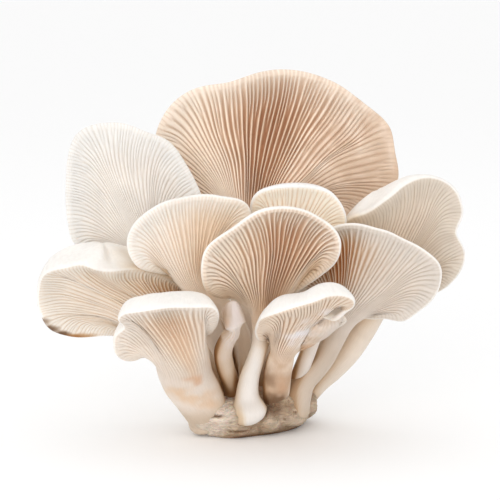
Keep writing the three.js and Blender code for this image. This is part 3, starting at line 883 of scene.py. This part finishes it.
def object_of(name, rows, layers):
    """A mesh object through rows of points, with the layers of its colours and its fibres."""
    starts = np.cumsum([0] + [len(r) for r in rows])
    quads, triangles = [], []
    for j in range(len(rows) - 1):
        n, m = len(rows[j]), len(rows[j + 1])
        faces = bunch(starts[j], n, starts[j + 1], m)
        if n == m:
            quads.append(faces)
        else:
            triangles += faces
    quads, triangles = np.concatenate(quads), np.array(triangles)
    points = np.concatenate(rows)
    mesh = bpy.data.meshes.new(name)
    mesh.vertices.add(len(points))
    mesh.vertices.foreach_set("co", points.ravel())
    loops = np.concatenate([quads.ravel(), triangles.ravel()])
    mesh.loops.add(len(loops))
    mesh.loops.foreach_set("vertex_index", loops)
    begins = np.concatenate([
        np.arange(len(quads)) * 4,
        quads.size + np.arange(len(triangles)) * 3,
    ])
    mesh.polygons.add(len(begins))
    mesh.polygons.foreach_set("loop_start", begins)
    mesh.polygons.foreach_set("use_smooth", np.ones(len(begins), bool))
    mesh.update(calc_edges=True)
    mesh.validate()
    for key, values in layers.items():
        add_layer(mesh, key, values)
    obj = bpy.data.objects.new(name, mesh)
    bpy.context.scene.collection.objects.link(obj)
    return obj


def mushroom(node, seed, everything):
    """One mushroom's piece, from the tip of its foot over the gills and the rim to the crown."""
    look = LOOKS[node]
    rng = np.random.default_rng(seed)
    surface = Surface(grid_of(node))
    closed = enclosure(surface, everything, np.random.default_rng(seed + SHADE_SEED))
    u = gill_columns(look, surface, rng)
    low = u[:: PHASES // COARSE]
    gills = gill_side(surface, look, u, seed, rng)
    rows = stem_side(surface, look, low) + gills
    rows += upper_side(surface, u, low, gills[-1].height, seed)
    middles = np.array([row.points.mean(0) for row in rows])
    lengths = np.append(0, np.cumsum(np.linalg.norm(np.diff(middles, axis=0), axis=1)))
    growths = [growth_of(row.u, length, surface.columns) for row, length in zip(rows, lengths)]
    shades = [closed_at(closed, row.u, row.v) for row in rows]
    paints = [paint_row(node, row, surface.columns, shade, seed) for row, shade in zip(rows, shades)]
    placed = [wavered(row.points, row.v, seed) for row in rows]
    obj = object_of(node.replace("mushroom_", "grown_"), placed, {
        "paint": np.concatenate(paints),
        "growth": np.concatenate(growths),
    })
    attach(obj, "root")
    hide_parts(node)
    return obj


# ---- materials ----


class Nodes:
    """A short way to write a node material."""

    def __init__(self, name):
        self.material = bpy.data.materials.new(name)
        self.material.use_nodes = True
        self.tree = self.material.node_tree
        self.shader = self.tree.nodes["Principled BSDF"]

    def add(self, kind, inputs=(), **settings):
        """A new node. Its inputs are values, or sockets to link them to."""
        node = self.tree.nodes.new(kind)
        for key, value in settings.items():
            setattr(node, key, value)
        for key, value in dict(inputs).items():
            if isinstance(value, bpy.types.NodeSocket):
                self.tree.links.new(value, node.inputs[key])
            else:
                node.inputs[key].default_value = value
        return node

    def texture(self, vector, *, scale, detail, roughness, distortion=0.0):
        """Noise from 0 to 1 at a vector."""
        return self.add("ShaderNodeTexNoise", {
            "Vector": vector, "Scale": scale, "Detail": detail, "Roughness": roughness,
            "Distortion": distortion}).outputs["Fac"]

    def stretched(self, value, given, wanted):
        """A value, with its given range turned into the wanted one."""
        return self.add("ShaderNodeMapRange", {
            "Value": value, "From Min": given[0], "From Max": given[1],
            "To Min": wanted[0], "To Max": wanted[1]}).outputs["Result"]

    def math(self, operation, *values):
        """A sum, a product or the like of numbers."""
        return self.add("ShaderNodeMath", enumerate(values), operation=operation).outputs["Value"]

    def times(self, vector, factor):
        """A vector or a colour, each of its three numbers multiplied."""
        return self.add("ShaderNodeVectorMath", {
            0: vector, 1: factor}, operation="MULTIPLY").outputs["Vector"]

    def set(self, **values):
        """Sets or links inputs of the shader."""
        for key, value in values.items():
            name = key.replace("_", " ").title()
            if isinstance(value, bpy.types.NodeSocket):
                self.tree.links.new(value, self.shader.inputs[name])
            else:
                self.shader.inputs[name].default_value = value


def flesh_material():
    """The mushrooms' flesh: painted, with fine fibres and pores, and a little light inside."""
    n = Nodes("mushroom_flesh")
    paint = n.add("ShaderNodeAttribute", attribute_name="paint").outputs["Color"]
    growth = n.add("ShaderNodeAttribute", attribute_name="growth").outputs["Vector"]
    place = n.add("ShaderNodeTexCoord").outputs["Object"]
    fibres = n.texture(growth, scale=3.2, detail=4.0, roughness=0.6)
    pores = n.texture(place, scale=1900.0, detail=3.0, roughness=0.6)
    clouds = n.texture(place, scale=90.0, detail=3.0, roughness=0.5)
    streaks = n.stretched(fibres, (0.25, 0.75), (0.93, 1.03))
    blotches = n.stretched(clouds, (0.3, 0.7), (0.965, 1.02))
    color = n.times(paint, n.math("MULTIPLY", streaks, blotches))
    heights = n.math("ADD", n.math("MULTIPLY", fibres, 0.7), pores)
    bump = n.add("ShaderNodeBump", {"Height": heights, "Strength": 0.35, "Distance": 0.12 * MM})
    roughness = n.stretched(pores, (0.3, 0.7), (0.52, 0.7))
    n.set(base_color=color, roughness=roughness, normal=bump.outputs["Normal"])
    n.shader.inputs["Specular IOR Level"].default_value = 0.35
    n.shader.inputs["Subsurface Weight"].default_value = 0.5
    n.shader.inputs["Subsurface Radius"].default_value = (1.0, 0.93, 0.86)
    n.shader.inputs["Subsurface Scale"].default_value = 1.0 * MM
    return n.material


def butt_material():
    """The butt's mycelium: painted, dull, with winding threads that lie flat over fine grains."""
    n = Nodes("butt_mycelium")
    paint = n.add("ShaderNodeAttribute", attribute_name="paint").outputs["Color"]
    place = n.add("ShaderNodeTexCoord").outputs["Object"]
    grains = n.texture(place, scale=900.0, detail=4.0, roughness=0.7)
    lying = n.times(place, (0.55, 0.55, 1.5))
    webs = []
    for scale in (300.0, 520.0):
        winding = n.texture(lying, scale=scale, detail=1.5, roughness=0.5, distortion=1.2)
        distance = n.math("ABSOLUTE", n.math("SUBTRACT", winding, 0.5))
        webs.append(n.stretched(distance, (0.0, 0.09), (1.0, 0.0)))
    threads = n.math("MAXIMUM", *webs)
    color = n.times(paint, n.stretched(threads, (0.0, 1.0), (0.88, 1.1)))
    heights = n.math("ADD", n.math("MULTIPLY", grains, 0.5), threads)
    bump = n.add("ShaderNodeBump", {"Height": heights, "Strength": 0.9, "Distance": 0.35 * MM})
    roughness = n.stretched(grains, (0.3, 0.7), (0.78, 0.95))
    n.set(base_color=color, roughness=roughness, normal=bump.outputs["Normal"])
    n.shader.inputs["Specular IOR Level"].default_value = 0.2
    n.shader.inputs["Subsurface Weight"].default_value = 0.2
    n.shader.inputs["Subsurface Scale"].default_value = 1.0 * MM
    return n.material


# ---- the butt ----


def slit_at(points):
    """How deep in a slit each point is, in millimetres."""
    deep = np.zeros(len(points))
    for middle, radii, depth in BUTT_SLITS:
        away = away_from("butt", middle, radii, points)
        deep = np.maximum(deep, depth * step(away, SLIT_END, SLIT_FULL))
    return deep


def threads_at(points):
    """Mycelium threads: 1 along thin winding ridges and down to -1 between them."""
    bends = [noise(points / THREAD_BEND_SIZE, THREAD_SEED + k) for k in (5, 6, 7)]
    bent = points / MM + np.stack(bends, -1) * THREAD_BEND
    standing = 1 - THREAD_SHARP * np.abs(noise(bent * (0.5, 0.5, 0.9), THREAD_SEED))
    lying = 1 - THREAD_SHARP * np.abs(noise(bent * (0.9, 0.9, 0.4), THREAD_SEED + 1))
    return np.maximum(np.maximum(standing, lying), -1)


def butt_paint(points, relief):
    """Pale flesh at the front left, brown mycelium elsewhere, with painted shade in its hollows, its
    slits and the hollow between the front feet.
    """
    patches = rough_noise(points / BUTT_PATCH_SIZE, BUTT_PATCH_SEED)
    specks = rough_noise(points / BUTT_SPECK_SIZE, BUTT_SPECK_SEED, 2)
    into_flesh = (points - place_in("butt", FLESH_EDGE)) / MM @ FLESH_WAY
    flesh = step(into_flesh + 1.4 * patches, 0, 6)
    to_right = (points - place_in("butt", PALE_FROM))[:, 0] / MM
    pale = step(to_right + 3 * patches, 0, 8)
    hollow_shade = step(relief - 0.4 * specks, -0.05, -0.65)
    from_under = (points - place_in("butt", UNDER_FROM)) / MM
    under = step(from_under[:, 2] - 1.2 * patches, 0, -2) * step(from_under[:, 0], 0, 6)
    away = away_from("butt", FEET_GAP_SHADE, FEET_GAP_SHADE_SIZE, points)
    gap = step(away - 0.6 * patches, 1.6, 0.6)
    color = mix(MYCELIUM, MYCELIUM_PALE, smooth(0.5 + 0.9 * patches))
    color = mix(color, MYCELIUM_PALE, 0.6 * pale)
    # painted shade in the hollows of the relief
    color = mix(color, MYCELIUM_DARK, 0.7 * hollow_shade)
    color = mix(color, FOOT_FLESH, 0.95 * flesh)
    # darker low down to the right, and painted shade in the hollow between the front feet
    color = mix(color, MYCELIUM_DARK, np.maximum(0.8 * under, 0.6 * gap))
    # painted shade in the slits
    color = mix(color, CREVICE_SHADE, 0.75 * smooth(slit_at(points)))
    speckled = 1 + (0.04 - 0.03 * flesh) * specks
    return paint_of(color * speckled[:, None])


def add_foot(source, node):
    """Adds a closed tube to the mesh: the lower end of a mushroom's stem, a little wider."""
    surface = Surface(grid_of(node))
    u = np.arange(0, surface.columns, FEET_COLUMN)
    rings = []
    for v in np.arange(FOOT, NECK, FEET_RING):
        ring = surface.at(u, v)
        if ring[:, 2].min() >= FEET_TOP:
            continue
        middle = ring.mean(0)
        swell = 1 + FEET_SWELL * step(middle[2], FEET_TOP, FEET_TOP - 8 * MM)
        swell -= FEET_TAPER * step(middle[2], FEET_TOP - 3 * MM, FEET_TOP + 1 * MM)
        rings.append([source.verts.new(middle + (p - middle) * swell) for p in ring])
    for a, b in zip(rings, rings[1:]):
        for i in range(len(u)):
            j = (i + 1) % len(u)
            source.faces.new((a[i], a[j], b[j], b[i]))
    source.faces.new(list(reversed(rings[0])))
    source.faces.new(rings[-1])


def butt_source():
    """The CAD butt, the lumps and the lower ends of the stems, in one mesh."""
    source = bmesh.new()
    source.from_mesh(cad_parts["butt"].data)
    flatten = Matrix.Diagonal((1, 1, LUMP_FLATTEN, 1))
    for share, size in FOOT_LUMPS:
        place = Matrix.Translation(place_in("butt", share)) @ flatten
        bmesh.ops.create_icosphere(source, subdivisions=3, radius=size * MM, matrix=place)
    for node, look in LOOKS.items():
        if look["soil"] >= FEET_SOIL:
            add_foot(source, node)
    mesh = bpy.data.meshes.new("butt_source")
    source.to_mesh(mesh)
    source.free()
    return mesh


def melt(obj):
    """Replaces an object's mesh by one skin round all its parts."""
    remesh = obj.modifiers.new("remesh", "REMESH")
    remesh.mode = "VOXEL"
    remesh.voxel_size = BUTT_VOXEL
    relax = obj.modifiers.new("relax", "SMOOTH")
    relax.iterations = 4
    relax.factor = 0.6
    depsgraph = bpy.context.evaluated_depsgraph_get()
    result = bpy.data.meshes.new_from_object(obj.evaluated_get(depsgraph))
    obj.modifiers.clear()
    obj.data = result


def butt():
    """The butt and the swollen feet as one lumpy mass, from the CAD butt and feet."""
    obj = bpy.data.objects.new("grown_butt", butt_source())
    bpy.context.scene.collection.objects.link(obj)
    melt(obj)
    mesh = obj.data
    points = np.zeros(len(mesh.vertices) * 3)
    mesh.vertices.foreach_get("co", points)
    points = points.reshape(-1, 3)
    normals = np.array([v.normal for v in mesh.vertices])
    beyond = place_in("butt", CUT_LEFT)[0] - CUT_SLOPE * points[:, 2] - points[:, 0]
    points[:, 0] += CUT_SHARE * np.maximum(beyond, 0)
    relief = LUMP_HEIGHT * rough_noise(points / LUMP_SIZE, LUMP_SEED)
    relief += THREAD_HEIGHT * threads_at(points)
    high = step(points[:, 2], 0.3 * MM, 2.3 * MM)
    to_left = place_in("butt", CALM_FROM)[0] - points[:, 0]
    calm = 1 - CALM_SHARE * step(to_left, 0, 6 * MM)
    points = points + normals * ((relief * high * calm - slit_at(points)) * MM)[:, None]
    points[:, 2] = np.maximum(points[:, 2], 0)
    mesh.vertices.foreach_set("co", points.ravel())
    mesh.update()
    add_layer(mesh, "paint", butt_paint(points, relief))
    for polygon in mesh.polygons:
        polygon.use_smooth = True
    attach(obj, "root")
    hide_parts("butt")
    return obj


# ---- the studio ----


def aimed(name, data, place, aim):
    """A light or a camera at a place, turned to another."""
    obj = bpy.data.objects.new(name, data)
    obj.location = place
    obj.rotation_mode = "QUATERNION"
    obj.rotation_quaternion = (aim - place).to_track_quat("-Z", "Y")
    bpy.context.scene.collection.objects.link(obj)
    return obj


def area_light(name, place, aim, size, watts):
    """A square light at a place, turned to shine at another."""
    data = bpy.data.lights.new(name, "AREA")
    data.shape = "SQUARE"
    data.size = size
    data.energy = watts
    aimed(name, data, Vector(place), aim)


def studio():
    """A white floor, a white world and two soft lights."""
    s = FLOOR_SIZE
    mesh = bpy.data.meshes.new("floor")
    mesh.from_pydata([(-s, -s, 0), (s, -s, 0), (s, s, 0), (-s, s, 0)], [], [(0, 1, 2, 3)])
    floor = bpy.data.objects.new("floor", mesh)
    bpy.context.scene.collection.objects.link(floor)
    paper = Nodes("floor_paper")
    paper.set(base_color=FLOOR_PAPER, roughness=0.9)
    mesh.materials.append(paper.material)
    world = bpy.data.worlds.new("studio")
    world.use_nodes = True
    world.node_tree.nodes["Background"].inputs["Color"].default_value = (1, 1, 1, 1)
    world.node_tree.nodes["Background"].inputs["Strength"].default_value = WORLD_LIGHT
    bpy.context.scene.world = world
    middle = Vector((cad_box[0] + cad_box[1]) / 2)
    area_light("key", KEY_PLACE, middle, KEY_SIZE, KEY_WATTS)
    area_light("top", TOP_PLACE, middle, TOP_SIZE, TOP_WATTS)
    bpy.context.scene.view_settings.view_transform = "Standard"


def camera():
    """The camera in front of the cluster, a little above and level across."""
    data = bpy.data.cameras.new("camera")
    data.lens = CAMERA_LENS
    data.sensor_width = CAMERA_SENSOR
    elevation = math.radians(CAMERA_ELEVATION)
    back = Vector((0, -math.cos(elevation), math.sin(elevation)))
    target = Vector(cad_box[0] + (cad_box[1] - cad_box[0]) * CAMERA_TARGET)
    place = target + back * CAMERA_DISTANCE
    bpy.context.scene.camera = aimed("camera", data, place, target)


def main():
    camera()
    studio()
    flesh = flesh_material()
    everything = solid_tree()
    for index, node in enumerate(LOOKS):
        mushroom(node, SEED + SEED_STEP * index, everything).data.materials.append(flesh)
    butt().data.materials.append(butt_material())


main()
